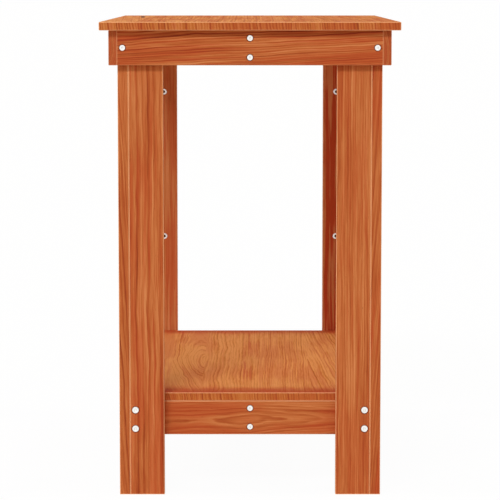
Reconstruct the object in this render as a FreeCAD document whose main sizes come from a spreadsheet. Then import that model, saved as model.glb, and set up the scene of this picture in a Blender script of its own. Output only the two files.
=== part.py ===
import FreeCAD, Part
import os
import Sketcher
from FreeCAD import Rotation, Vector

# A work table: a thin tabletop on an apron frame, four L-shaped legs made of two boards each, and a
# lower frame of rails that carries a shelf. Sizes are in millimetres. +X runs across the table, +Y
# along it and +Z up. The origin is on the floor under the middle of the tabletop, and the front is
# the narrow end towards -Y.

SIZES = {
    # The tabletop's outline, and its upper face above the floor.
    "table_width": 500,
    "table_length": 825,
    "table_height": 800,
    "top_thickness": 14,
    "top_overhang": 15,
    # The apron frame under the tabletop.
    "apron_thickness": 14,
    "apron_depth": 58,
    # The two boards of each leg.
    "leg_width": 58,
    "leg_thickness": 18,
    # The lower frame, and how high its underside is above the floor.
    "rail_thickness": 18,
    "rail_depth": 58,
    "rail_height": 100,
    # The bars that run lengthwise under the middle of both panels.
    "stretcher_thickness": 18,
    # The shelf panel and the room that it has between the legs.
    "shelf_thickness": 14,
    "shelf_gap": 1,
    # Rounding of the edges that run along a board, and of all the edges of a panel.
    "edge_radius": 1.5,
    # Where the fastenings sit: the step of a pair, and the bolts at the corner of each leg.
    "pair_spacing": 32,
    "corner_bolt_height": 362,
    "corner_bolt_spacing": 288,
    "panel_screw_inset": 100,
    # Wood screws, and how far they bite into the last board.
    "screw_head": 10.5,
    "screw_head_height": 2.5,
    "screw_shank": 5,
    "screw_socket": 4,
    "screw_bite": 32,
    # Screws that hold a panel from below: the wood under their heads, and the wood left over their tips.
    "panel_grip": 20,
    "panel_cover": 5,
    # Bolts and the barrel nuts that they pull on.
    "bolt_head": 12,
    "bolt_head_height": 3,
    "bolt_shank": 6,
    "bolt_socket": 5,
    "bolt_overrun": 3,
    "nut_diameter": 12,
    "nut_setback": 32,
    # How deep a nut's end sits, its broken edge, and the wood left past its far end.
    "nut_sink": 0.4,
    "nut_ease": 0.5,
    "nut_cover": 2,
    "nut_recess": 5.5,
    "nut_recess_depth": 4,
    # Shared by all heads: depth under the wood, broken edge, depth of the key socket.
    "head_recess": 1.2,
    "head_ease": 0.6,
    "socket_depth": 1.6,
    # Room round heads, shanks and nuts, and under tips.
    "head_gap": 0.8,
    "shank_gap": 0.25,
    "nut_gap": 0.15,
    "tip_gap": 1,
}

# Faces measured outwards from the middle of the table.
APRON_X = "(Sizes.table_width / 2 - Sizes.top_overhang)"
APRON_Y = "(Sizes.table_length / 2 - Sizes.top_overhang)"
LEG_X = f"({APRON_X} - Sizes.apron_thickness)"
LEG_Y = f"({APRON_Y} - Sizes.apron_thickness)"
BAY_X = f"({LEG_X} - Sizes.leg_thickness)"
BAY_Y = f"({LEG_Y} - Sizes.leg_thickness)"
RAIL_X = f"({BAY_X} - Sizes.rail_thickness)"
RAIL_Y = f"({BAY_Y} - Sizes.rail_thickness)"
STRETCHER_X = "(Sizes.stretcher_thickness / 2)"

# Heights above the floor.
UNDER_TOP = "(Sizes.table_height - Sizes.top_thickness)"
APRON_FOOT = f"({UNDER_TOP} - Sizes.apron_depth)"
APRON_MIDDLE = f"({UNDER_TOP} - Sizes.apron_depth / 2)"
RAIL_TOP = "(Sizes.rail_height + Sizes.rail_depth)"
RAIL_MIDDLE = "(Sizes.rail_height + Sizes.rail_depth / 2)"

# Each axis has the plane square to it, the two axes of a sketch on that plane, the direction of the
# plane's normal along the axis, and the unit vector.
PLANE = {"x": "YZ_Plane", "y": "XZ_Plane", "z": "XY_Plane"}
SKETCH_AXES = {"x": ("y", "z"), "y": ("x", "z"), "z": ("x", "y")}
NORMAL = {"x": 1, "y": -1, "z": 1}
UNIT = {"x": Vector(1, 0, 0), "y": Vector(0, 1, 0), "z": Vector(0, 0, 1)}

SIDES = {"left": -1, "right": 1}
ENDS = {"front": -1, "back": 1}
PAIR = ("-Sizes.pair_spacing / 2", "Sizes.pair_spacing / 2")

doc = FreeCAD.newDocument("work_table")


def fill_sheet():
    """Put the driving dimensions into a spreadsheet, one named cell each."""
    sheet = doc.addObject("Spreadsheet::Sheet", "Sizes")
    for row, (alias, value) in enumerate(SIZES.items(), start=1):
        sheet.set(f"A{row}", alias)
        sheet.set(f"B{row}", str(value))
        sheet.setAlias(f"B{row}", alias)
    doc.recompute()


def span(sign, inner, outer):
    """The low and high face of a piece that lies between two distances from the middle."""
    if sign > 0:
        return inner, outer
    return f"-{outer}", f"-{inner}"


def both_ways(half):
    """The low and high face of a piece that lies across the middle."""
    return f"-{half}", half


def origin_plane(body, axis):
    """The plane of the body's own origin that is square to an axis."""
    for feature in body.Origin.OriginFeatures:
        if feature.Role == PLANE[axis]:
            return feature
    raise ValueError(axis)


def new_sketch(body, name, axis):
    """An empty sketch on one of the body's origin planes."""
    sketch = body.newObject("Sketcher::SketchObject", name)
    sketch.AttachmentSupport = (origin_plane(body, axis), [""])
    sketch.MapMode = "FlatFace"
    return sketch


def dimension(sketch, kind, places, expression):
    """Add a dimension to a sketch and tie it to the sheet."""
    start_value = 1.0
    index = sketch.addConstraint(Sketcher.Constraint(kind, *places, start_value))
    name = f"{kind.lower()}_{index}"
    sketch.renameConstraint(index, name)
    sketch.setExpression(f"Constraints.{name}", expression)


def draw_loop(sketch, corners):
    """Draw straight lines from corner to corner and back to the first."""
    for index, corner in enumerate(corners):
        sketch.addGeometry(Part.LineSegment(corner, corners[(index + 1) % len(corners)]))
    for index in range(len(corners)):
        following = (index + 1) % len(corners)
        sketch.addConstraint(Sketcher.Constraint("Coincident", index, 2, following, 1))


def draw_rectangle(sketch, width, height):
    """Draw a rectangle about the sketch's origin."""
    draw_loop(sketch, [Vector(-9, -9), Vector(9, -9), Vector(9, 9), Vector(-9, 9)])
    for index in (0, 2):
        sketch.addConstraint(Sketcher.Constraint("Horizontal", index))
    for index in (1, 3):
        sketch.addConstraint(Sketcher.Constraint("Vertical", index))
    sketch.addConstraint(Sketcher.Constraint("Symmetric", 0, 1, 2, 1, -1, 1))
    dimension(sketch, "DistanceX", (0, 1, 0, 2), width)
    dimension(sketch, "DistanceY", (1, 1, 1, 2), height)


def draw_profile(sketch, corners):
    """Draw a half section whose corners are given as a radius and a depth under the sketch's origin."""
    draw_loop(sketch, [Vector(1 + index, -index * index) for index in range(len(corners))])
    for index, (radius, depth) in enumerate(corners):
        dimension(sketch, "DistanceX", (-1, 1, index, 1), radius)
        dimension(sketch, "DistanceY", (index, 1, -1, 1), depth)


def draw_hexagon(sketch, flats):
    """Draw a hexagon about the sketch's origin, so wide across its flats."""
    sides = 6
    turn = Rotation(UNIT["z"], 360 / sides)
    corners = [Vector(9, 0)]
    while len(corners) < sides:
        corners.append(turn.multVec(corners[-1]))
    draw_loop(sketch, corners)
    rim = sketch.addGeometry(Part.Circle(Vector(0, 0), UNIT["z"], 9), True)
    sketch.addConstraint(Sketcher.Constraint("Coincident", rim, 3, -1, 1))
    for index in range(sides):
        sketch.addConstraint(Sketcher.Constraint("PointOnObject", index, 1, rim))
    for index in range(1, sides):
        sketch.addConstraint(Sketcher.Constraint("Equal", 0, index))
    sketch.addConstraint(Sketcher.Constraint("PointOnObject", 0, 1, -1))
    dimension(sketch, "Diameter", (rim,), f"{flats} / cos(30)")


class Bore:
    """The sizes of one kind of hole: a plain one, or one with a wider seat for a head."""

    def __init__(self, name, diameter, depth=None, seat_diameter=None, seat_depth=None):
        self.name = name
        self.diameter = diameter
        self.depth = depth
        self.seat_diameter = seat_diameter
        self.seat_depth = seat_depth


def edges_along(shape, axis):
    """The names of a block's edges that run along an axis."""
    names = []
    for index, edge in enumerate(shape.Edges, start=1):
        if edge.tangentAt(edge.FirstParameter).cross(UNIT[axis]).Length < 0.5:
            names.append(f"Edge{index}")
    return names


class Board:
    """A board lying along the table's axes, between a low and a high face on each.

    Planed boards are rounded along their long axis and cut square at the ends. A panel, which has no
    such axis, is rounded on all its edges.
    """

    made = []

    def __init__(self, name, thin_axis, long_axis, x, y, z):
        self.faces = {"x": x, "y": y, "z": z}
        self.bores = {}
        self.body = doc.addObject("PartDesign::Body", name)
        self.body.Label = name
        for axis in "xyz":
            self.body.setExpression(f"Placement.Base.{axis}", self.centre(axis))
        across, up = SKETCH_AXES[thin_axis]
        outline = new_sketch(self.body, f"{name}_outline", thin_axis)
        draw_rectangle(outline, self.size(across), self.size(up))
        pad = self.body.newObject("PartDesign::Pad", f"{name}_stock")
        pad.Profile = outline
        pad.SideType = "Symmetric"
        pad.setExpression("Length", self.size(thin_axis))
        doc.recompute()
        edges = self.body.newObject("PartDesign::Fillet", f"{name}_edges")
        if long_axis:
            edges.Base = (pad, edges_along(pad.Shape, long_axis))
        else:
            edges.Base = (pad, [""])
            edges.UseAllEdges = True
        edges.setExpression("Radius", "Sizes.edge_radius")
        doc.recompute()
        Board.made.append(self)

    def size(self, axis):
        low, high = self.faces[axis]
        return f"(({high}) - ({low}))"

    def centre(self, axis):
        low, high = self.faces[axis]
        return f"((({low}) + ({high})) / 2)"

    def plan_bore(self, bore, axis, side, spot):
        """Note a hole that enters the face on one side along an axis."""
        kind = (bore.name, axis, side)
        self.bores.setdefault(kind, (bore, []))[1].append(spot)

    def cut_bores(self):
        """Drill the noted holes, those of one kind and face together."""
        for (_, axis, side), (bore, spots) in self.bores.items():
            self.drill(bore, axis, side, spots)

    def drill(self, bore, axis, side, spots):
        before = self.body.Shape.Volume
        name = f"{self.body.Label}_{bore.name}"
        marks = new_sketch(self.body, f"{name}_marks", axis)
        facing = side * NORMAL[axis]
        marks.setExpression("AttachmentOffset.Base.z", f"{facing} * {self.size(axis)} / 2")
        for index, spot in enumerate(spots):
            marks.addGeometry(Part.Circle(Vector(index, index), UNIT["z"], 1))
            for kind, across in zip(("DistanceX", "DistanceY"), SKETCH_AXES[axis]):
                dimension(marks, kind, (-1, 1, index, 3), f"({spot[across]}) - {self.centre(across)}")
            dimension(marks, "Diameter", (index,), bore.diameter)
        doc.recompute()
        hole = self.body.newObject("PartDesign::Hole", name)
        hole.Profile = marks
        hole.Reversed = facing < 0
        hole.DrillPoint = "Flat"
        hole.setExpression("Diameter", bore.diameter)
        if bore.depth:
            hole.DepthType = "Dimension"
            hole.setExpression("Depth", bore.depth)
        else:
            hole.DepthType = "ThroughAll"
        if bore.seat_diameter:
            hole.HoleCutType = "Counterbore"
            hole.setExpression("HoleCutDiameter", bore.seat_diameter)
            hole.setExpression("HoleCutDepth", bore.seat_depth)
        doc.recompute()
        if self.body.Shape.Volume >= before:
            raise RuntimeError(f"{name} cuts nothing")


class Fasteners:
    """One screw, bolt or nut, and the places where copies of it are set."""

    made = []

    def __init__(self, name):
        self.name = name
        self.copies = []
        self.body = doc.addObject("PartDesign::Body", f"{name}_one")
        Fasteners.made.append(self)

    def turn(self, corners):
        """Revolve a half section about the fastener's own axis."""
        section = new_sketch(self.body, f"{self.name}_section", "y")
        draw_profile(section, corners)
        solid = self.body.newObject("PartDesign::Revolution", f"{self.name}_turned")
        solid.Profile = section
        solid.ReferenceAxis = (section, ["V_Axis"])
        doc.recompute()

    def sink_socket(self, flats, top):
        """Sink a six-sided key socket into the head."""
        outline = new_sketch(self.body, f"{self.name}_socket_outline", "z")
        outline.setExpression("AttachmentOffset.Base.z", f"-({top})")
        draw_hexagon(outline, flats)
        socket = self.body.newObject("PartDesign::Pocket", f"{self.name}_socket")
        socket.Profile = outline
        socket.setExpression("Length", "Sizes.socket_depth")
        doc.recompute()

    def cross_bore(self, diameter, depth):
        """Bore through the fastener from side to side, at a depth along its axis."""
        marks = new_sketch(self.body, f"{self.name}_cross_marks", "x")
        marks.addGeometry(Part.Circle(Vector(0, -1), UNIT["z"], 1))
        marks.addConstraint(Sketcher.Constraint("PointOnObject", 0, 3, -2))
        dimension(marks, "DistanceY", (0, 3, -1, 1), depth)
        dimension(marks, "Diameter", (0,), diameter)
        bore = self.body.newObject("PartDesign::Pocket", f"{self.name}_cross_bore")
        bore.Profile = marks
        bore.SideType = "Symmetric"
        bore.Type = "ThroughAll"
        doc.recompute()

    def place(self, spot, axis, side, cross_axis):
        """Set a copy with its head facing one side along an axis, turned to a second axis."""
        copy = doc.addObject("App::Link", f"{self.name}_{len(self.copies) + 1}")
        copy.LinkedObject = self.body
        facing = UNIT[axis] * side
        turned = Rotation(UNIT[cross_axis], Vector(), facing, "ZXY")
        copy.Placement = FreeCAD.Placement(Vector(), turned)
        for place_axis in "xyz":
            copy.setExpression(f"Placement.Base.{place_axis}", spot[place_axis])
        self.copies.append(copy)

    def gather(self):
        """Collect the copies under the fastener's name."""
        group = doc.addObject("Part::Compound", f"{self.name}_group")
        group.Links = self.copies
        group.Label = self.name
        return group


class Screws(Fasteners):
    """Screws or bolts of one length, with the holes that they need."""

    def __init__(self, name, kind, shank_length, bite, recess="Sizes.head_recess"):
        super().__init__(name)
        head = f"(Sizes.{kind}_head / 2)"
        shank = f"(Sizes.{kind}_shank / 2)"
        seat = f"({recess} + Sizes.{kind}_head_height)"
        tip = f"({seat} + {shank_length})"
        self.turn([
            ("0", recess),
            (f"{head} - Sizes.head_ease", recess),
            (head, f"{recess} + Sizes.head_ease"),
            (head, seat),
            (shank, seat),
            (shank, tip),
            ("0", tip),
        ])
        self.sink_socket(f"Sizes.{kind}_socket", recess)
        loose = f"Sizes.{kind}_shank + 2 * Sizes.shank_gap"
        tight = f"Sizes.{kind}_shank" if kind == "screw" else loose
        seat_diameter = f"Sizes.{kind}_head + 2 * Sizes.head_gap"
        self.seat_bore = Bore(f"{name}_seats", loose, None, seat_diameter, seat)
        self.clear_bore = Bore(f"{name}_clear", loose)
        self.bite_bore = Bore(f"{name}_bite", tight, f"{bite} + Sizes.tip_gap")

    def fix(self, spot, axis, side, boards):
        """Set one through the first boards into the last one, and drill them all."""
        cross_axis = SKETCH_AXES[axis][0]
        self.place(spot, axis, side, cross_axis)
        first, *between, last = boards
        first.plan_bore(self.seat_bore, axis, side, spot)
        for board in between:
            board.plan_bore(self.clear_bore, axis, side, spot)
        last.plan_bore(self.bite_bore, axis, side, spot)


class BarrelNuts(Fasteners):
    """Cross dowels lying in blind holes, each with a threaded hole across its middle."""

    def __init__(self, name, thickness):
        super().__init__(name)
        radius = "(Sizes.nut_diameter / 2)"
        end = f"({thickness} - Sizes.nut_cover)"
        recess = "(Sizes.nut_recess / 2)"
        floor = "(Sizes.nut_sink + Sizes.nut_recess_depth)"
        self.turn([
            ("0", floor),
            (recess, floor),
            (recess, "Sizes.nut_sink"),
            (f"{radius} - Sizes.nut_ease", "Sizes.nut_sink"),
            (radius, "Sizes.nut_sink + Sizes.nut_ease"),
            (radius, end),
            ("0", end),
        ])
        self.cross_bore("Sizes.bolt_shank", f"{thickness} / 2")
        self.bore = Bore(f"{name}_holes", "Sizes.nut_diameter + 2 * Sizes.nut_gap", end)

    def fix(self, spot, axis, side, cross_axis, board):
        """Set one into the face of a board, with its thread along a second axis."""
        self.place(spot, axis, side, cross_axis)
        board.plan_bore(self.bore, axis, side, spot)


def make_panels():
    """The tabletop, and the shelf that lies inside the legs on the lower frame."""
    tabletop = Board(
        "tabletop", "z", None,
        both_ways("Sizes.table_width / 2"),
        both_ways("Sizes.table_length / 2"),
        (UNDER_TOP, "Sizes.table_height"))
    shelf = Board(
        "shelf", "z", None,
        both_ways(f"({BAY_X} - Sizes.shelf_gap)"),
        both_ways(f"({BAY_Y} - Sizes.shelf_gap)"),
        (RAIL_TOP, f"{RAIL_TOP} + Sizes.shelf_thickness"))
    return tabletop, shelf


def make_apron_frame():
    """Long aprons over the whole length, short ones between them, and a bar under the tabletop."""
    height = (APRON_FOOT, UNDER_TOP)
    long_aprons = {}
    for side, sign in SIDES.items():
        long_aprons[side] = Board(
            f"{side}_apron", "x", "y", span(sign, LEG_X, APRON_X), both_ways(APRON_Y), height)
    short_aprons = {}
    for end, sign in ENDS.items():
        short_aprons[end] = Board(
            f"{end}_apron", "y", "x", both_ways(LEG_X), span(sign, LEG_Y, APRON_Y), height)
    stretcher = Board("top_stretcher", "x", "y", both_ways(STRETCHER_X), both_ways(LEG_Y), height)
    return long_aprons, short_aprons, stretcher


def make_legs():
    """Two boards to a leg: one faces the long side, the other butts against its inner face."""
    height = ("0", UNDER_TOP)
    side_boards = {}
    end_boards = {}
    for end, along in ENDS.items():
        for side, across in SIDES.items():
            side_boards[end, side] = Board(
                f"{end}_{side}_leg_side_board", "x", "z",
                span(across, BAY_X, LEG_X),
                span(along, f"({LEG_Y} - Sizes.leg_width)", LEG_Y),
                height)
            end_boards[end, side] = Board(
                f"{end}_{side}_leg_end_board", "y", "z",
                span(across, f"({BAY_X} - Sizes.leg_width)", BAY_X),
                span(along, BAY_Y, LEG_Y),
                height)
    return side_boards, end_boards


def make_lower_frame():
    """Side rails between the legs, end rails between those, and a bar under the shelf."""
    height = ("Sizes.rail_height", RAIL_TOP)
    side_rails = {}
    for side, sign in SIDES.items():
        side_rails[side] = Board(
            f"{side}_side_rail", "x", "y", span(sign, RAIL_X, BAY_X), both_ways(BAY_Y), height)
    end_rails = {}
    for end, sign in ENDS.items():
        end_rails[end] = Board(
            f"{end}_end_rail", "y", "x", both_ways(RAIL_X), span(sign, RAIL_Y, BAY_Y), height)
    stretcher = Board("lower_stretcher", "x", "y", both_ways(STRETCHER_X), both_ways(RAIL_Y), height)
    return side_rails, end_rails, stretcher


def signed(sign, distance):
    """A distance from the middle, on one side of it."""
    return distance if sign > 0 else f"-{distance}"


def fix_stretcher(name, cross_boards, stretcher, face, middle, thickness):
    """A pair of screws through each cross board into the end of a stretcher."""
    grip = f"({thickness} - Sizes.head_recess - Sizes.screw_head_height)"
    screws = Screws(name, "screw", f"({grip} + Sizes.screw_bite)", "Sizes.screw_bite")
    for end, along in ENDS.items():
        for step in PAIR:
            spot = {"x": "0", "y": signed(along, face), "z": f"{middle} + {step}"}
            screws.fix(spot, "y", along, [cross_boards[end], stretcher])


def fix_panel(name, stretcher, panel, stretcher_end, underside, depth, thickness):
    """Three screws up through a stretcher into the panel on it, their heads sunk deep."""
    recess = f"({depth} - Sizes.panel_grip - Sizes.screw_head_height)"
    bite = f"({thickness} - Sizes.panel_cover)"
    screws = Screws(name, "screw", f"(Sizes.panel_grip + {bite})", bite, recess)
    for step in (-1, 0, 1):
        spot = {"x": "0", "y": f"{step} * ({stretcher_end} - Sizes.panel_screw_inset)", "z": underside}
        screws.fix(spot, "z", -1, [stretcher, panel])


def fix_aprons(long_aprons, short_aprons, side_boards, end_boards):
    """Screws that hold the apron frame to the legs."""
    grip = "(Sizes.apron_thickness - Sizes.head_recess - Sizes.screw_head_height)"
    bite = "Sizes.screw_bite"
    end_screws = Screws("apron_leg_screws", "screw", f"({grip} + {bite})", bite)
    side_screws = Screws("long_apron_screws", "screw", f"({grip} + Sizes.leg_thickness + {bite})", bite)
    for end, along in ENDS.items():
        for side, across in SIDES.items():
            corner = (end, side)
            spot = {
                "x": signed(across, f"({LEG_X} - Sizes.leg_thickness / 2)"),
                "y": signed(along, APRON_Y),
                "z": APRON_MIDDLE}
            end_screws.fix(spot, "y", along, [short_aprons[end], side_boards[corner]])
            for step in PAIR:
                spot = {
                    "x": signed(across, APRON_X),
                    "y": signed(along, f"({LEG_Y} - Sizes.leg_thickness / 2)"),
                    "z": f"{APRON_MIDDLE} + {step}"}
                boards = [long_aprons[side], side_boards[corner], end_boards[corner]]
                side_screws.fix(spot, "x", across, boards)


def bolt_lengths(thickness):
    """A bolt's shank, and its hole in the second board, past the nut by the overrun."""
    bite = "(Sizes.nut_setback + Sizes.nut_diameter / 2 + Sizes.bolt_overrun)"
    grip = f"({thickness} - Sizes.head_recess - Sizes.bolt_head_height)"
    return f"({grip} + {bite})", bite


def fix_leg_corners(side_boards, end_boards):
    """Two bolts join the boards of each leg. Their nuts lie in the inner face of the end board."""
    length, bite = bolt_lengths("Sizes.leg_thickness")
    bolts = Screws("leg_corner_bolts", "bolt", length, bite)
    nuts = BarrelNuts("leg_corner_nuts", "Sizes.leg_thickness")
    heights = ("Sizes.corner_bolt_height", "(Sizes.corner_bolt_height + Sizes.corner_bolt_spacing)")
    for end, along in ENDS.items():
        for side, across in SIDES.items():
            corner = (end, side)
            for height in heights:
                spot = {
                    "x": signed(across, LEG_X),
                    "y": signed(along, f"({LEG_Y} - Sizes.leg_thickness / 2)"),
                    "z": height}
                bolts.fix(spot, "x", across, [side_boards[corner], end_boards[corner]])
                spot = {
                    "x": signed(across, f"({BAY_X} - Sizes.nut_setback)"),
                    "y": signed(along, BAY_Y),
                    "z": height}
                nuts.fix(spot, "y", -along, "x", end_boards[corner])


def fix_lower_frame(side_boards, end_boards, side_rails, end_rails):
    """Bolts hold the side rails to the legs, and screws through leg and side rail hold the end rails."""
    length, bite = bolt_lengths("Sizes.leg_thickness")
    bolts = Screws("side_rail_bolts", "bolt", length, bite)
    nuts = BarrelNuts("side_rail_nuts", "Sizes.rail_thickness")
    grip = "(Sizes.leg_thickness - Sizes.head_recess - Sizes.screw_head_height)"
    screws = Screws(
        "end_rail_screws", "screw",
        f"({grip} + Sizes.rail_thickness + Sizes.screw_bite)", "Sizes.screw_bite")
    for end, along in ENDS.items():
        for side, across in SIDES.items():
            corner = (end, side)
            for step in PAIR:
                height = f"{RAIL_MIDDLE} + {step}"
                spot = {
                    "x": signed(across, f"({BAY_X} - Sizes.rail_thickness / 2)"),
                    "y": signed(along, LEG_Y),
                    "z": height}
                bolts.fix(spot, "y", along, [end_boards[corner], side_rails[side]])
                spot = {
                    "x": signed(across, RAIL_X),
                    "y": signed(along, f"({BAY_Y} - Sizes.nut_setback)"),
                    "z": height}
                nuts.fix(spot, "x", -across, "y", side_rails[side])
            spot = {
                "x": signed(across, LEG_X),
                "y": signed(along, f"({BAY_Y} - Sizes.rail_thickness / 2)"),
                "z": RAIL_MIDDLE}
            screws.fix(spot, "x", across, [side_boards[corner], side_rails[side], end_rails[end]])


def check_document(parts):
    """Stop if any object failed or any sub-part has no sound solid."""
    for item in doc.Objects:
        if "Invalid" in item.State or "Error" in item.State:
            raise RuntimeError(f"{item.Label} failed: {item.State}")
    for part in parts:
        if part.Shape.isNull() or not part.Shape.isValid():
            raise RuntimeError(f"{part.Label} has no sound shape")


def main():
    fill_sheet()
    tabletop, shelf = make_panels()
    long_aprons, short_aprons, top_stretcher = make_apron_frame()
    side_boards, end_boards = make_legs()
    side_rails, end_rails, lower_stretcher = make_lower_frame()

    fix_aprons(long_aprons, short_aprons, side_boards, end_boards)
    fix_stretcher(
        "apron_stretcher_screws", short_aprons, top_stretcher,
        APRON_Y, APRON_MIDDLE, "Sizes.apron_thickness")
    fix_panel(
        "tabletop_screws", top_stretcher, tabletop,
        LEG_Y, APRON_FOOT, "Sizes.apron_depth", "Sizes.top_thickness")
    fix_leg_corners(side_boards, end_boards)
    fix_lower_frame(side_boards, end_boards, side_rails, end_rails)
    fix_stretcher(
        "lower_stretcher_screws", end_rails, lower_stretcher,
        BAY_Y, RAIL_MIDDLE, "Sizes.rail_thickness")
    fix_panel(
        "shelf_screws", lower_stretcher, shelf,
        RAIL_Y, "Sizes.rail_height", "Sizes.rail_depth", "Sizes.shelf_thickness")

    for board in Board.made:
        board.cut_bores()
    parts = [board.body for board in Board.made]
    parts += [fasteners.gather() for fasteners in Fasteners.made]
    doc.recompute()
    check_document(parts)

    os.makedirs("parts", exist_ok=True)
    for part in parts:
        part.Shape.exportStep(os.path.join("parts", f"{part.Label}.step"))
    print(f"{len(parts)} parts, {sum(len(part.Shape.Solids) for part in parts)} solids")


main()
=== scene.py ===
"""Looks of the work table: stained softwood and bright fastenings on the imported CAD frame.

Lengths are metres in the CAD frame: the front is towards -Y, left is -X and the floor is z = 0.
"""

import math
import random
from dataclasses import dataclass

import bpy
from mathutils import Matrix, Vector


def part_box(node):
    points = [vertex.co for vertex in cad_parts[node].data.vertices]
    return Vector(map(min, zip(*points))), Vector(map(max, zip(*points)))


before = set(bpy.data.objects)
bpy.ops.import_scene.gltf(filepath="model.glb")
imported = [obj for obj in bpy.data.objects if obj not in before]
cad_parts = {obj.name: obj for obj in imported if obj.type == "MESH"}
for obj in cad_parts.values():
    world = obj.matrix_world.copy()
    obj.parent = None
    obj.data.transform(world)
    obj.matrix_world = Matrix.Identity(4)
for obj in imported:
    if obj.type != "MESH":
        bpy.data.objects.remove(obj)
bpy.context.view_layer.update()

MM = 0.001

# Camera, fitted to the corners of the table in the photograph. It looks down by the pitch, in degrees.
CAMERA_PLACE = (0.0, -4.3337, 0.8616)
CAMERA_PITCH = 6.407
CAMERA_LENS = 170.31
CAMERA_SENSOR = 36.0
CAMERA_REACH = 1000.0

# Lamps. A full sun gives back a matt surface's own colour, and the lamps are shares of it.
FULL_SUN = math.pi
LAMP_DISTANCE = 5.0
LAMP_RISE = 0.785
LAMP_SPREAD = 9.0
FRONT_STRIP = 0.42
FRONT_PLACES = (-0.14, -0.34, -0.56)
LEFT_LAMP = 0.20
RIGHT_LAMP = 0.15
SIDE_LEAD = 0.03
BACK_LAMP = 0.25
BACK_RISE = 0.15

# Light of the surroundings, at the horizon and overhead, and how much stronger it is at the front.
HORIZON_LIGHT = 0.60
ZENITH_LIGHT = 0.33
FRONT_GAIN = 0.40

# The floor is a wide disc. The camera sees only a share of the shadow on it.
FLOOR_RADIUS = 400.0
FLOOR_SIDES = 48
FLOOR_ROUGHNESS = 0.9
FLOOR_SHADOW = 0.035


def srgb(red, green, blue):
    """A colour given in screen values, as the linear colour that shaders use."""
    def linear(value):
        value = value / 255
        if value <= 0.04045:
            return value / 12.92
        return ((value + 0.055) / 1.055) ** 2.4
    return (linear(red), linear(green), linear(blue), 1.0)


def grey(level):
    """A plain grey, as a linear colour."""
    return (level, level, level, 1.0)


# The warm light of the studio's walls, and of its pale floor as it throws light back.
WALL_LIGHT = srgb(255, 243, 234)
FLOOR_BOUNCE = srgb(226, 209, 195)

# Wood stain, from the pale early wood to the darkest lines, by darkness from 0 to 1.
BOARD_STAIN = [
    (0.00, srgb(219, 148, 95)),
    (0.30, srgb(201, 124, 70)),
    (0.52, srgb(184, 102, 52)),
    (0.75, srgb(165, 79, 36)),
    (1.00, srgb(127, 50, 22)),
]
PANEL_STAIN = [
    (0.00, srgb(226, 154, 85)),
    (0.30, srgb(206, 127, 54)),
    (0.52, srgb(187, 103, 34)),
    (0.75, srgb(168, 80, 22)),
    (1.00, srgb(130, 50, 13)),
]
RED_STAIN = srgb(188, 74, 38)
# Darker red near the shelf's ends: painted shade there, together with stain that the end grain soaks
# up.
SOAKED_AND_SHADED_END = srgb(203, 76, 36)
# Pale edges: bare wood where the stain has rubbed off, with a painted highlight where the rounded
# edges catch the light.
BARE_AND_LIT_EDGE = srgb(255, 199, 148)
END_GRAIN = srgb(166, 84, 55)
FLECK = srgb(110, 46, 20)
RESIN = srgb(72, 32, 19)
ZINC_LIGHT = srgb(252, 250, 246)
ZINC_DULL = srgb(232, 232, 230)
# The dark colour of the painted shade in the hollows of heads and nuts.
HOLLOW_SHADE = srgb(74, 50, 34)

# Noise runs from 0 to 1. Each board takes it from a place of its own, drawn from this many cells.
NOISE_MIDDLE = 0.5
NOISE_REACH = 40

# Rings: the darkness through one ring and its mean, the pace and size of the drift in their spacing,
# the strength of the weakest one, and the lean of the rings on a panel's end grain.
LATE_WOOD_PROFILE = [(0.0, 0.10), (0.30, 0.05), (0.62, 0.45), (0.86, 1.0), (0.95, 0.6), (1.0, 0.1)]
LATE_WOOD_MEAN = 0.3
DRIFT_PACE = 0.25
DRIFT_SIZE = 1.6
WEAKEST_RING = 0.2
UPRIGHT_LEAN = 0.12

# Stripes along the rings: their width, and how far they run along the grain.
BROAD_RUN = 350 * MM
FINE_WIDTH = 1.8 * MM
FINE_RUN = 120 * MM
STREAK_WIDTH = 4 * MM
STREAK_RUN = 250 * MM

# How much each layer darkens the wood or makes it paler, starting from the middle of the stain.
MIDDLE_STAIN = 0.5
FINE_SHARE = 0.65
FIBRE_SHARE = 0.65
PATCH_SHARE = 0.35

# Where other colours take over from the stain, and how far they cover it.
END_FACING = (0.75, 0.97)
END_COVER = 0.35
RED_RANGE = (0.38, 0.62)
RED_LEAST = 0.2
FLECK_RANGE = (0.70, 0.80)
FLECK_COVER = 0.4
RESIN_RANGE = (0.5, 1.3)
RESIN_COVER = 0.95
# How far in from an edge the pale edge, partly a painted highlight, reaches.
WEAR_AND_HIGHLIGHT_RANGE = (0.5 * MM, 1.3 * MM)
# How far in from the ends the painted shade, with the stain that the end grain soaks up, reaches.
SOAK_AND_SHADE_DEPTH = 75 * MM

# The wood's surface: its roughness and what late wood, fibres and end grain add to it, the relief of
# its grain, and its shine.
WOOD_ROUGHNESS = 0.84
LATE_ROUGHNESS = -0.06
FIBRE_ROUGHNESS = 0.25
END_ROUGHNESS = 0.12
LATE_RELIEF = 0.5
GRAIN_STRENGTH = 0.25
GRAIN_DEPTH = 0.25 * MM
WOOD_SHINE = 0.16

# Zinc: the cells of its patches and scratches to the metre, how far patches are dull, what both add to
# the roughness, the relief of the scratches, and which hollows are darkened by painted shade.
ZINC_PATCHES = (400, 400, 400)
ZINC_SCRATCHES = (5000, 900, 2200)
DULL_RANGE = (0.40, 0.75)
DULL_ROUGHNESS = 0.14
SCRATCH_ROUGHNESS = 0.12
SCRATCH_STRENGTH = 0.2
SCRATCH_DEPTH = 0.03 * MM
HOLLOW_SAMPLES = 8
HOLLOW_REACH = 6 * MM
HOLLOW_RANGE = (0.35, 0.90)

# How rough heads and nuts are, and how much painted shade darkens their sockets and bores.
HEAD_ROUGHNESS = 0.26
HEAD_HOLLOW_SHADE = 0.18
NUT_ROUGHNESS = 0.28
NUT_HOLLOW_SHADE = 1.0

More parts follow.
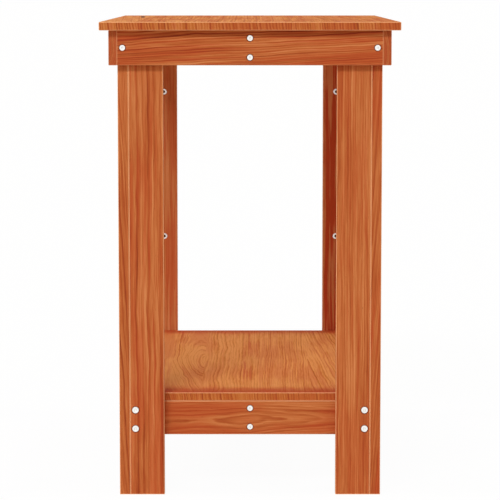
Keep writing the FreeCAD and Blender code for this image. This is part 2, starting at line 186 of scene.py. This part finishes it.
# Places of the colour sockets on a Mix node, which has a set of sockets for each kind of data.
MIX_FACTOR = 0
MIX_FIRST = 6
MIX_SECOND = 7
MIX_RESULT = 2


class Tree:
    """The node tree of a material or a world, with short calls for the nodes used here."""

    def __init__(self, owner):
        self.nodes = owner.node_tree.nodes
        self.links = owner.node_tree.links

    def feed(self, socket, value):
        """Links a node's output to a socket, or sets the socket to a plain value."""
        if isinstance(value, bpy.types.NodeSocket):
            self.links.new(value, socket)
        else:
            socket.default_value = value

    def make(self, kind, *values):
        """A new node of a kind, with values for its first sockets."""
        node = self.nodes.new("ShaderNode" + kind)
        for socket, value in zip(node.inputs, values):
            self.feed(socket, value)
        return node

    def math(self, operation, *values):
        node = self.make("Math", *values)
        node.operation = operation
        return node.outputs[0]

    def vector(self, operation, *values):
        node = self.make("VectorMath", *values)
        node.operation = operation
        return node.outputs[0]

    def length(self, vector):
        node = self.make("VectorMath", vector)
        node.operation = "LENGTH"
        return node.outputs["Value"]

    def combine(self, x, y, z):
        return self.make("CombineXYZ", x, y, z).outputs[0]

    def separate(self, vector):
        return list(self.make("SeparateXYZ", vector).outputs)

    def noise(self, place, detail=2.0):
        """Smooth noise from 0 to 1, one cell to each unit of place."""
        node = self.make("TexNoise")
        self.feed(node.inputs["Vector"], place)
        node.inputs["Scale"].default_value = 1.0
        node.inputs["Detail"].default_value = detail
        return node.outputs[0]

    def dice(self, value):
        """A number from 0 to 1 drawn afresh for each value."""
        node = self.make("TexWhiteNoise")
        node.noise_dimensions = "1D"
        self.feed(node.inputs["W"], value)
        return node.outputs[0]

    def span(self, value, low, high, to_low=0.0, to_high=1.0):
        """Value from low to high, eased into the range from to_low to to_high."""
        node = self.make("MapRange", value, low, high, to_low, to_high)
        node.interpolation_type = "SMOOTHSTEP"
        return node.outputs[0]

    def colours(self, value, stops, way="LINEAR"):
        """A ramp through (place, colour) stops."""
        node = self.make("ValToRGB", value)
        ramp = node.color_ramp
        ramp.interpolation = way
        while len(ramp.elements) < len(stops):
            ramp.elements.new(1.0)
        for element, (place, colour) in zip(ramp.elements, stops):
            element.position = place
            element.color = colour
        return node.outputs[0]

    def curve(self, value, stops, way="LINEAR"):
        """A grey ramp through (place, level) stops."""
        return self.colours(value, [(place, grey(level)) for place, level in stops], way)

    def blend(self, factor, first, second):
        """The first colour, or the second where factor is 1."""
        node = self.nodes.new("ShaderNodeMix")
        node.data_type = "RGBA"
        self.feed(node.inputs[MIX_FACTOR], factor)
        self.feed(node.inputs[MIX_FIRST], first)
        self.feed(node.inputs[MIX_SECOND], second)
        return node.outputs[MIX_RESULT]

    def relief(self, height, strength, depth):
        """A normal bent by a height, for the given strength and depth."""
        node = self.make("Bump")
        node.inputs["Strength"].default_value = strength
        node.inputs["Distance"].default_value = depth
        self.feed(node.inputs["Height"], height)
        return node.outputs[0]


class Finish(Tree):
    """A new material, whose shader the nodes feed."""

    def __init__(self, name):
        self.material = bpy.data.materials.new(name)
        self.material.use_nodes = True
        super().__init__(self.material)
        self.shader = self.nodes["Principled BSDF"]


@dataclass(frozen=True)
class Figure:
    """How a board was cut from its log, which sets the figure of its grain, and how it took the stain.

    The pith lies at pith_across from the board's middle and pith_depth behind it. It drifts by slope
    across and by lean through the board for each metre of length. It comes nearest at the place called
    eye, and is deeper by dip further off than reach, so some rings close into ovals there. Rings are a
    pitch apart, and bend by wander and ripple. They show by contrast, and on a panel's end grain more
    by end_contrast. Broad stripes as wide as stripe show by stripe_contrast. A board is paler by tone,
    redder by red, darker and redder near its ends by soak, and paler along its edges by wear. The
    darkening near the ends is painted shade, together with stain that the end grain soaks up. The pale
    edges are bare wood where the stain has rubbed off, together with a painted highlight where the
    rounded edges catch the light. Resin pockets are given by their place across and along, half width
    and half length.
    """
    pith_across: float = 0.10
    pith_depth: float = 0.05
    slope: float = 0.0
    lean: float = 0.0
    eye: float = 0.0
    dip: float = 0.0
    reach: float = 0.2
    pitch: float = 0.004
    wander: float = 0.005
    ripple: float = 0.0015
    contrast: float = 0.40
    end_contrast: float = 0.6
    stripe: float = 0.006
    stripe_contrast: float = 0.55
    tone: float = 0.0
    red: float = 0.45
    wear_and_highlight: float = 0.85
    soak_and_shade: float = 0.0
    pockets: tuple = ()


@dataclass(frozen=True)
class Layer:
    """Noise in cells of a size across and along the grain.

    The shift sets it apart from other layers, and the size says how far it swings.
    """
    across: float
    along: float
    shift: float
    detail: float = 2.0
    size: float = 1.0


# Layers that colour the wood.
FIBRES = Layer(1.0 * MM, 35 * MM, shift=1.0, detail=3.0)
PATCHES = Layer(50 * MM, 200 * MM, shift=13.0, detail=3.0)
FLECKS = Layer(0.9 * MM, 9 * MM, shift=17.0, detail=1.0)

# Layers that bend its lines. The trunk has a slow wander and shorter ripples on it, both ways.
SIDE_WAVER = (Layer(90 * MM, 300 * MM, shift=3.0), Layer(35 * MM, 100 * MM, shift=4.5))
DEPTH_WAVER = (Layer(90 * MM, 300 * MM, shift=7.0), Layer(35 * MM, 100 * MM, shift=8.5))
RING_TREMOR = Layer(10 * MM, 50 * MM, shift=11.0, detail=3.0, size=0.7 * MM)
WEAR_AND_HIGHLIGHT_TREMOR = Layer(4 * MM, 50 * MM, shift=19.0, size=0.3 * MM)
RESIN_TREMOR = Layer(4 * MM, 30 * MM, shift=21.0, size=0.4)
UPRIGHT_TREMOR = Layer(20 * MM, 50 * MM, shift=23.0, size=2 * MM)
SOAK_AND_SHADE_TREMOR = Layer(30 * MM, 60 * MM, shift=25.0, size=25 * MM)


class Wood(Finish):
    """Stained softwood for one board: solid rings and fibres, pale edges with a painted highlight,
    darker end grain, and on the shelf painted shade near its ends.

    A board has one stave, and a panel several, given as pairs of a left edge and a figure. What can't
    change from stave to stave comes from the first one.
    """

    def __init__(self, board, staves, seed):
        super().__init__(board + "_wood")
        low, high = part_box(board)
        self.half = (high - low) / 2
        self.through, self.across, self.along = sorted(range(3), key=lambda axis: self.half[axis])
        self.staves = staves
        self.figure = staves[0][1]
        self.panel = len(staves) > 1
        place = self.make("TexCoord").outputs["Object"]
        middle = (low + high) / 2
        self.xyz = self.separate(self.vector("SUBTRACT", place, middle))
        dice = random.Random(seed)
        self.offset = Vector([dice.uniform(-NOISE_REACH, NOISE_REACH) for _ in range(3)])

    def pick(self, name):
        """A figure's value, by stave where the board has several."""
        values = [getattr(figure, name) for _, figure in self.staves]
        low = min(values)
        high = max(values)
        if low == high:
            return low
        half = self.half[self.across]
        stops = [((edge + half) / (2 * half), (value - low) / (high - low))
                 for (edge, _), value in zip(self.staves, values)]
        place = self.math("MULTIPLY_ADD", self.xyz[self.across], 1 / (2 * half), 0.5)
        return self.math("MULTIPLY_ADD", self.curve(place, stops, "CONSTANT"), high - low, low)

    def grain(self, layer):
        """A layer's noise at each point of the board, from 0 to 1."""
        cells = [1 / layer.across] * 3
        cells[self.along] = 1 / layer.along
        scaled = [self.math("MULTIPLY", value, cell) for value, cell in zip(self.xyz, cells)]
        shift = Vector((layer.shift, -layer.shift, 2 * layer.shift))
        return self.noise(self.vector("ADD", self.combine(*scaled), self.offset + shift), layer.detail)

    def swing(self, layer):
        """A layer's noise, swinging evenly to both sides of zero by its size."""
        level = self.math("SUBTRACT", self.grain(layer), NOISE_MIDDLE)
        return self.math("MULTIPLY", level, 2 * layer.size)

    def waver(self, layers):
        """The slow wander of the trunk, and shorter ripples on it."""
        slow, short = [self.swing(layer) for layer in layers]
        slow = self.math("MULTIPLY", slow, self.pick("wander"))
        return self.math("MULTIPLY_ADD", short, self.pick("ripple"), slow)

    def radius(self):
        """The distance from the pith, at each point of the board."""
        across = self.xyz[self.across]
        through = self.xyz[self.through]
        along = self.xyz[self.along]
        side = self.math("SUBTRACT", across, self.pick("pith_across"))
        side = self.math("SUBTRACT", side, self.math("MULTIPLY", along, self.pick("slope")))
        side = self.math("ADD", side, self.waver(SIDE_WAVER))
        from_eye = self.math("SUBTRACT", along, self.pick("eye"))
        far = self.math("POWER", self.math("DIVIDE", from_eye, self.pick("reach")), 2.0)
        far = self.math("DIVIDE", far, self.math("ADD", far, 1.0))
        depth = self.math("ADD", through, self.pick("pith_depth"))
        depth = self.math("ADD", depth, self.math("MULTIPLY", along, self.pick("lean")))
        depth = self.math("MULTIPLY_ADD", far, self.pick("dip"), depth)
        depth = self.math("ADD", depth, self.waver(DEPTH_WAVER))
        radius = self.length(self.combine(side, depth, 0.0))
        return self.math("ADD", radius, self.swing(RING_TREMOR))

    def upright_rings(self, radius, end):
        """Rings that stand upright on the end grain of a panel, whose staves are cut that way."""
        across = self.xyz[self.across]
        upright = self.math("MULTIPLY_ADD", self.xyz[self.through], UPRIGHT_LEAN, across)
        upright = self.math("ADD", upright, self.swing(UPRIGHT_TREMOR))
        return self.math("MULTIPLY_ADD", self.math("SUBTRACT", upright, radius), end, radius)

    def late_wood(self, radius):
        """The dark late part of each ring, stronger in some rings than in others."""
        count = self.math("DIVIDE", radius, self.pick("pitch"))
        pace = self.math("MULTIPLY", count, DRIFT_PACE)
        drift = self.noise(self.combine(pace, self.offset.x, 0.0))
        count = self.math("ADD", count, self.math("MULTIPLY", drift, DRIFT_SIZE))
        late = self.curve(self.math("FRACT", count), LATE_WOOD_PROFILE)
        draw = self.dice(self.math("FLOOR", count))
        vigour = self.math("MULTIPLY_ADD", draw, 1 - WEAKEST_RING, WEAKEST_RING)
        return self.math("MULTIPLY", late, vigour)

    def stripes(self, radius, width, run, shift, detail=2.0):
        """Noise drawn out along the rings, in stripes of the given width that last for a run."""
        place = self.combine(
            self.math("DIVIDE", radius, width),
            self.math("MULTIPLY", self.xyz[self.along], 1 / run),
            self.offset.y + shift,
        )
        return self.math("SUBTRACT", self.noise(place, detail), NOISE_MIDDLE)

    def from_pocket(self, pocket):
        """The distance from the middle of a resin pocket, where 1 is its rim."""
        across, along, half_width, half_length = pocket
        side = self.math("SUBTRACT", self.xyz[self.across], across)
        ahead = self.math("SUBTRACT", self.xyz[self.along], along)
        side = self.math("SUBTRACT", side, self.math("MULTIPLY", ahead, self.figure.slope))
        side = self.math("DIVIDE", side, half_width)
        ahead = self.math("DIVIDE", ahead, half_length)
        gap = self.length(self.combine(side, ahead, 0.0))
        return self.math("ADD", gap, self.swing(RESIN_TREMOR))

    def soaked_and_shaded(self):
        """How much darker and redder the board is near its ends: painted shade there, together with
        stain that the end grain soaks up.
        """
        off_middle = self.math("ABSOLUTE", self.xyz[self.along])
        inward = self.math("SUBTRACT", self.half[self.along], off_middle)
        inward = self.math("ADD", inward, self.swing(SOAK_AND_SHADE_TREMOR))
        return self.span(inward, 0.0, SOAK_AND_SHADE_DEPTH, self.figure.soak_and_shade, 0.0)

    def edge_gap(self):
        """The distance to the nearest edge of the board, on any of its faces."""
        gaps = []
        for value, half in zip(self.xyz, self.half):
            gaps.append(self.math("SUBTRACT", half, self.math("ABSOLUTE", value)))
        near = self.math("MINIMUM", gaps[0], gaps[1])
        far = self.math("MAXIMUM", gaps[0], gaps[1])
        return self.math("MAXIMUM", near, self.math("MINIMUM", far, gaps[2]))

    def add(self, total, layer, share):
        """A layer added to a running total, by a share."""
        return self.math("MULTIPLY_ADD", layer, share, total)

    def stained(self, radius, late, fibre, end):
        """The colour of the stained wood, from its rings, stripes, fibres and patches."""
        figure = self.figure
        broad = self.stripes(radius, self.pick("stripe"), BROAD_RUN, shift=5.0, detail=3.0)
        fine = self.stripes(radius, FINE_WIDTH, FINE_RUN, shift=9.0)
        streak = self.stripes(radius, STREAK_WIDTH, STREAK_RUN, shift=15.0)
        patch = self.grain(PATCHES)

        off_end = self.math("SUBTRACT", 1.0, end)
        contrast = figure.contrast
        if self.panel:
            contrast = self.math("MULTIPLY_ADD", end, figure.end_contrast, contrast)
        ring = self.math("SUBTRACT", late, LATE_WOOD_MEAN)
        dark = self.math("MULTIPLY_ADD", ring, contrast, MIDDLE_STAIN)
        dark = self.math("SUBTRACT", dark, self.math("MULTIPLY", self.pick("tone"), off_end))
        dark = self.add(dark, broad, 2 * figure.stripe_contrast)
        dark = self.add(dark, fine, FINE_SHARE)
        dark = self.add(dark, fibre, FIBRE_SHARE)
        dark = self.add(dark, self.math("SUBTRACT", patch, NOISE_MIDDLE), PATCH_SHARE)
        colour = self.colours(dark, PANEL_STAIN if self.panel else BOARD_STAIN)

        red = self.span(self.math("ADD", patch, streak), *RED_RANGE, RED_LEAST, 1.0)
        red = self.math("MULTIPLY", red, self.pick("red"))
        colour = self.blend(red, colour, RED_STAIN)
        # Painted shade near the ends of the shelf, together with stain that the end grain soaks up.
        if figure.soak_and_shade:
            colour = self.blend(self.math("MULTIPLY", self.soaked_and_shaded(), off_end), colour, SOAKED_AND_SHADED_END)
        return colour

    def marked(self, colour, end):
        """A colour with flecks, end grain, resin pockets and pale edges laid over it; the pale edges
        are bare wood with a painted highlight.
        """
        fleck = self.span(self.grain(FLECKS), *FLECK_RANGE, 0.0, FLECK_COVER)
        colour = self.blend(fleck, colour, FLECK)
        colour = self.blend(self.math("MULTIPLY", end, END_COVER), colour, END_GRAIN)
        for pocket in self.figure.pockets:
            resin = self.span(self.from_pocket(pocket), *RESIN_RANGE, RESIN_COVER, 0.0)
            colour = self.blend(resin, colour, RESIN)
        # Pale edges: bare wood where the stain has rubbed off, with a painted highlight on the rounded
        # edges.
        gap = self.math("ADD", self.edge_gap(), self.swing(WEAR_AND_HIGHLIGHT_TREMOR))
        bare_and_lit = self.span(gap, *WEAR_AND_HIGHLIGHT_RANGE, self.figure.wear_and_highlight, 0.0)
        return self.blend(bare_and_lit, colour, BARE_AND_LIT_EDGE)

    def finish(self):
        """Joins the layers into the shader and returns the material."""
        normal = self.separate(self.make("NewGeometry").outputs["Normal"])[self.along]
        end = self.span(self.math("ABSOLUTE", normal), *END_FACING)
        radius = self.radius()
        if self.panel:
            radius = self.upright_rings(radius, end)
        late = self.late_wood(radius)
        fibre = self.math("SUBTRACT", self.grain(FIBRES), NOISE_MIDDLE)
        colour = self.marked(self.stained(radius, late, fibre, end), end)

        rough = self.math("MULTIPLY_ADD", late, LATE_ROUGHNESS, WOOD_ROUGHNESS)
        rough = self.add(rough, fibre, FIBRE_ROUGHNESS)
        rough = self.add(rough, end, END_ROUGHNESS)
        height = self.math("MULTIPLY_ADD", late, LATE_RELIEF, fibre)

        inputs = self.shader.inputs
        self.feed(inputs["Base Color"], colour)
        self.feed(inputs["Roughness"], rough)
        self.feed(inputs["Normal"], self.relief(height, GRAIN_STRENGTH, GRAIN_DEPTH))
        inputs["Specular IOR Level"].default_value = WOOD_SHINE
        return self.material


def steel_material(name, roughness, bore_shade):
    """Bright zinc plating with fine scratches, duller patches and painted shade in its sockets and
    bores.
    """
    tree = Finish(name)
    place = tree.make("TexCoord").outputs["Object"]
    patch = tree.noise(tree.vector("MULTIPLY", place, ZINC_PATCHES), 3.0)
    scratch = tree.noise(tree.vector("MULTIPLY", place, ZINC_SCRATCHES), 2.0)
    dull = tree.span(patch, *DULL_RANGE)
    # Painted shade: hollows that the part itself hides from the light are darkened.
    hollow = tree.make("AmbientOcclusion")
    hollow.samples = HOLLOW_SAMPLES
    hollow.only_local = True
    hollow.inputs["Distance"].default_value = HOLLOW_REACH
    painted_shade = tree.span(hollow.outputs["AO"], *HOLLOW_RANGE, bore_shade, 0.0)
    colour = tree.blend(dull, ZINC_LIGHT, ZINC_DULL)
    rough = tree.math("MULTIPLY_ADD", dull, DULL_ROUGHNESS, roughness)
    rough = tree.math("ADD", rough, tree.math("MULTIPLY", scratch, SCRATCH_ROUGHNESS))

    inputs = tree.shader.inputs
    tree.feed(inputs["Base Color"], tree.blend(painted_shade, colour, HOLLOW_SHADE))
    tree.feed(inputs["Roughness"], rough)
    tree.feed(inputs["Normal"], tree.relief(scratch, SCRATCH_STRENGTH, SCRATCH_DEPTH))
    inputs["Metallic"].default_value = 1.0
    return tree.material


# Boards that the photograph shows, with the figure seen there.
SEEN_BOARDS = {
    "front_left_leg_end_board": Figure(
        pith_across=0.070, pith_depth=0.045, pitch=0.0095, stripe=0.010, ripple=0.0035,
        contrast=0.44, stripe_contrast=0.72),
    "front_right_leg_end_board": Figure(
        pith_across=-0.16, pith_depth=0.03, pitch=0.0042, stripe=0.006, contrast=0.34,
        stripe_contrast=0.50, tone=0.01, red=0.28),
    "front_left_leg_side_board": Figure(
        pith_across=0.02, pith_depth=0.06, lean=0.06, pitch=0.0045, red=0.15),
    "front_right_leg_side_board": Figure(
        pith_across=0.03, pith_depth=0.07, lean=-0.07, pitch=0.0042, tone=-0.15),
    # The back legs' end boards are paler, and the right one far redder: painted light and a painted
    # red shade on their inner faces.
    "back_left_leg_end_board": Figure(
        pith_across=0.12, pith_depth=0.03, pitch=0.0040, red=0.6, tone=0.22),
    "back_right_leg_end_board": Figure(
        pith_across=-0.12, pith_depth=0.03, pitch=0.0040, red=1.4, tone=0.55),
    "front_end_rail": Figure(
        pith_across=-0.004, pith_depth=0.034, lean=0.014, eye=-0.01, dip=0.003, reach=0.06,
        slope=0.03, pitch=0.0032, ripple=0.003, contrast=0.50, stripe_contrast=0.28, tone=0.04),
    "front_apron": Figure(
        pith_across=0.05, pith_depth=0.04, eye=0.10, dip=0.006, reach=0.2, slope=0.05, pitch=0.0029,
        ripple=0.003, contrast=0.74, stripe_contrast=0.72, tone=-0.10, wear_and_highlight=0.25),
    "left_apron": Figure(pith_across=0.01, pith_depth=0.12, pitch=0.0034, wear_and_highlight=0.25),
    "right_apron": Figure(pith_across=-0.01, pith_depth=0.11, pitch=0.0036, wear_and_highlight=0.25),
}

# Panels glued up from staves: where each stave starts, from the panel's middle, and its figure.
PANELS = {
    "shelf": (
        # The first two staves are paler, painting out part of the shadow that the front left leg casts
        # on the shelf.
        (-0.202, Figure(
            pith_across=-0.32, pith_depth=0.03, contrast=0.62, end_contrast=0.15, stripe_contrast=0.38,
            # This sets the painted shade near the ends of the whole shelf, with stain that the end
            # grain soaks up.
            soak_and_shade=0.8, tone=0.60)),
        (-0.143, Figure(
            pith_across=-0.081, pith_depth=0.007, eye=-0.03, dip=0.032, reach=0.15, slope=-0.06,
            pitch=0.0036, ripple=0.005, red=0.4, tone=0.43)),
        (-0.084, Figure(
            pith_across=-0.24, pith_depth=0.04, pitch=0.0062, wander=0.008, ripple=0.004, red=0.35,
            tone=0.33)),
        (-0.014, Figure(pith_across=-0.16, pith_depth=0.03, red=0.65, tone=0.24)),
        (0.002, Figure(
            pith_across=-0.12, pith_depth=0.03, slope=0.01, pitch=0.0044, red=0.4, tone=0.34)),
        (0.105, Figure(
            pith_across=0.00, pith_depth=0.03, eye=-0.45, dip=0.02, reach=0.5, slope=-0.05,
            pitch=0.0060, ripple=0.003, tone=0.34)),
    ),
    "tabletop": (
        (-0.250, Figure(
            pith_across=-0.45, pith_depth=0.02, slope=-0.045, pitch=0.0044, contrast=0.60,
            stripe_contrast=0.70, red=0.36, tone=0.44,
            pockets=((-0.204, 0.20, 4.5 * MM, 110 * MM),))),
        (-0.191, Figure(pith_across=-0.41, pith_depth=0.03, slope=-0.02, pitch=0.0047, tone=0.20)),
        (-0.150, Figure(pith_across=-0.22, pith_depth=0.05, pitch=0.0050, tone=0.20)),
        (-0.045, Figure(pith_across=-0.30, pith_depth=0.02, pitch=0.0055, tone=0.27)),
        (0.055, Figure(pith_across=0.32, pith_depth=-0.01, pitch=0.0040, tone=0.15)),
        (0.150, Figure(pith_across=-0.05, pith_depth=0.01, pitch=0.0048, tone=0.20)),
    ),
}


def unseen_figure(seed):
    """A plain board cut anywhere from the log, drawn by its seed."""
    dice = random.Random(seed)
    return Figure(
        pith_across=dice.uniform(-0.12, 0.12),
        pith_depth=dice.uniform(0.03, 0.10),
        slope=dice.uniform(-0.03, 0.03),
        lean=dice.uniform(-0.04, 0.04),
        eye=dice.uniform(-0.3, 0.3),
        dip=dice.uniform(0.0, 0.015),
        pitch=dice.uniform(0.0030, 0.0055),
        tone=dice.uniform(-0.05, 0.05),
    )


def dress_nodes():
    """Gives each CAD node its material."""
    heads = steel_material("zinc_heads", HEAD_ROUGHNESS, HEAD_HOLLOW_SHADE)
    nuts = steel_material("zinc_nuts", NUT_ROUGHNESS, NUT_HOLLOW_SHADE)
    for seed, (name, node) in enumerate(sorted(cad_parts.items())):
        if name.endswith(("screws", "bolts")):
            material = heads
        elif name.endswith("nuts"):
            material = nuts
        else:
            staves = PANELS.get(name) or ((0.0, SEEN_BOARDS.get(name) or unseen_figure(seed)),)
            material = Wood(name, staves, seed).finish()
        for slot in node.material_slots:
            slot.material = material


def backdrop_factor(tree):
    """1 for the rays that should see a plain white backdrop, and 0 for those that light the object."""
    rays = tree.make("LightPath").outputs
    seen = tree.math("MAXIMUM", rays["Is Camera Ray"], rays["Is Glossy Ray"])
    return tree.math("MAXIMUM", seen, rays["Is Transmission Ray"])


def make_floor():
    """A wide white floor that keeps a faint shadow."""
    mesh = bpy.data.meshes.new("floor")
    corners = []
    for index in range(FLOOR_SIDES):
        turn = 2 * math.pi * index / FLOOR_SIDES
        corners.append((FLOOR_RADIUS * math.cos(turn), FLOOR_RADIUS * math.sin(turn), 0.0))
    mesh.from_pydata(corners, [], [list(range(FLOOR_SIDES))])
    floor = bpy.data.objects.new("floor", mesh)
    bpy.context.scene.collection.objects.link(floor)
    tree = Finish("floor_white")
    seen = backdrop_factor(tree)
    tree.feed(tree.shader.inputs["Base Color"], tree.blend(seen, FLOOR_BOUNCE, grey(1.0)))
    tree.shader.inputs["Roughness"].default_value = FLOOR_ROUGHNESS
    tree.shader.inputs["Specular IOR Level"].default_value = 0.0
    white = tree.make("Emission", grey(1.0), 1.0)
    mix = tree.make("MixShader", tree.math("MULTIPLY", seen, 1 - FLOOR_SHADOW))
    tree.feed(mix.inputs[1], tree.shader.outputs[0])
    tree.feed(mix.inputs[2], white.outputs[0])
    tree.feed(tree.nodes["Material Output"].inputs["Surface"], mix.outputs[0])
    mesh.materials.append(tree.material)


def make_world():
    """Soft light, stronger near the horizon and at the front, and a white backdrop for the camera."""
    world = bpy.data.worlds.new("studio")
    world.use_nodes = True
    bpy.context.scene.world = world
    tree = Tree(world)
    _, back, height = tree.separate(tree.make("TexCoord").outputs["Generated"])
    level = tree.math("MULTIPLY_ADD", height, ZENITH_LIGHT - HORIZON_LIGHT, HORIZON_LIGHT)
    level = tree.math("MULTIPLY", level, tree.math("MULTIPLY_ADD", back, -FRONT_GAIN, 1.0))
    light = tree.make("Background", WALL_LIGHT, level)
    white = tree.make("Background", grey(1.0), 1.0)
    mix = tree.make("MixShader", backdrop_factor(tree))
    tree.feed(mix.inputs[1], light.outputs[0])
    tree.feed(mix.inputs[2], white.outputs[0])
    tree.feed(tree.nodes["World Output"].inputs["Surface"], mix.outputs[0])


def make_lamp(name, towards, strength):
    """A soft lamp far off, in the direction towards it from the table."""
    lamp = bpy.data.lights.new(name, "SUN")
    lamp.energy = strength * FULL_SUN
    lamp.angle = math.radians(LAMP_SPREAD)
    holder = bpy.data.objects.new(name, lamp)
    holder.rotation_euler = towards.to_track_quat("Z", "Y").to_euler()
    holder.location = towards.normalized() * LAMP_DISTANCE
    bpy.context.scene.collection.objects.link(holder)
    return holder


def make_lamps():
    """A strip of lamps left of the front, a lamp at each long side and a low one at the back.

    The low lamp is for the back faces alone, so it leaves no sheen along the table.
    """
    for index, place in enumerate(FRONT_PLACES):
        towards = Vector((place, -1, LAMP_RISE))
        make_lamp(f"front_lamp_{index}", towards, FRONT_STRIP / len(FRONT_PLACES))
    make_lamp("left_lamp", Vector((-1, -SIDE_LEAD, LAMP_RISE)), LEFT_LAMP)
    make_lamp("right_lamp", Vector((1, -SIDE_LEAD, LAMP_RISE)), RIGHT_LAMP)
    back_lamp = make_lamp("back_lamp", Vector((0, 1, BACK_RISE)), BACK_LAMP)
    back_lamp.visible_glossy = False


def make_camera():
    """The camera of the photograph."""
    data = bpy.data.cameras.new("camera")
    data.lens = CAMERA_LENS
    data.sensor_width = CAMERA_SENSOR
    data.clip_end = CAMERA_REACH
    camera = bpy.data.objects.new("camera", data)
    camera.location = CAMERA_PLACE
    camera.rotation_euler = (math.radians(90 - CAMERA_PITCH), 0.0, 0.0)
    bpy.context.scene.collection.objects.link(camera)
    bpy.context.scene.camera = camera


dress_nodes()
make_floor()
make_world()
make_lamps()
make_camera()
bpy.context.scene.view_settings.view_transform = "Standard"
